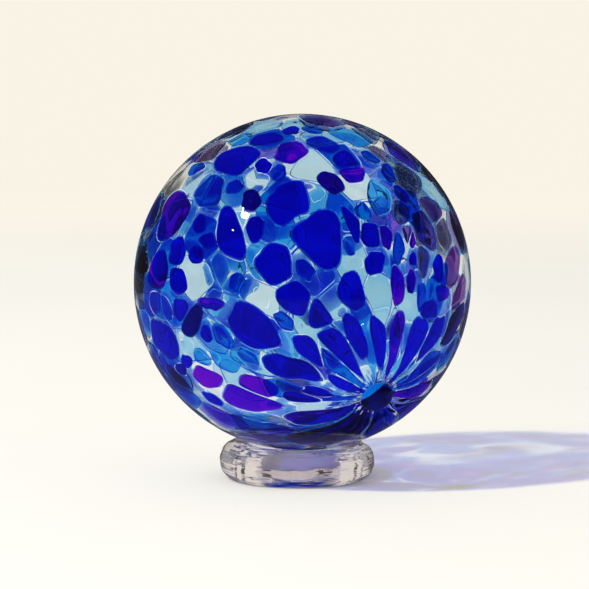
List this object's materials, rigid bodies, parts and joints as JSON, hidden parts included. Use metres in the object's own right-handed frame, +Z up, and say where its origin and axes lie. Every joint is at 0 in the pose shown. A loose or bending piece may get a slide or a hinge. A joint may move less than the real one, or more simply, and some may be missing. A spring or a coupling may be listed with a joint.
{
  "type": "blown glass ball on a glass ring",
  "caption": "Hollow blown glass ball speckled with blue and violet glass, closed by a bead of glass, resting on a loose ring of clear glass.",
  "frame": {"origin": "on the table, straight under the centre of the ball", "axes": "+Z up; -Y is the front, from which the seal bead shows low on the right; +X to the right"},
  "size_m": [0.1, 0.1, 0.1084],
  "materials": {
    "ball_glass": "gloss, cobalt, violet and sky-blue chips in clear glass",
    "ring_glass": "gloss, clear"
  },
  "bodies": {
    "root": {"ball": "ball_glass", "ring": "ring_glass"}
  },
  "joints": []
}
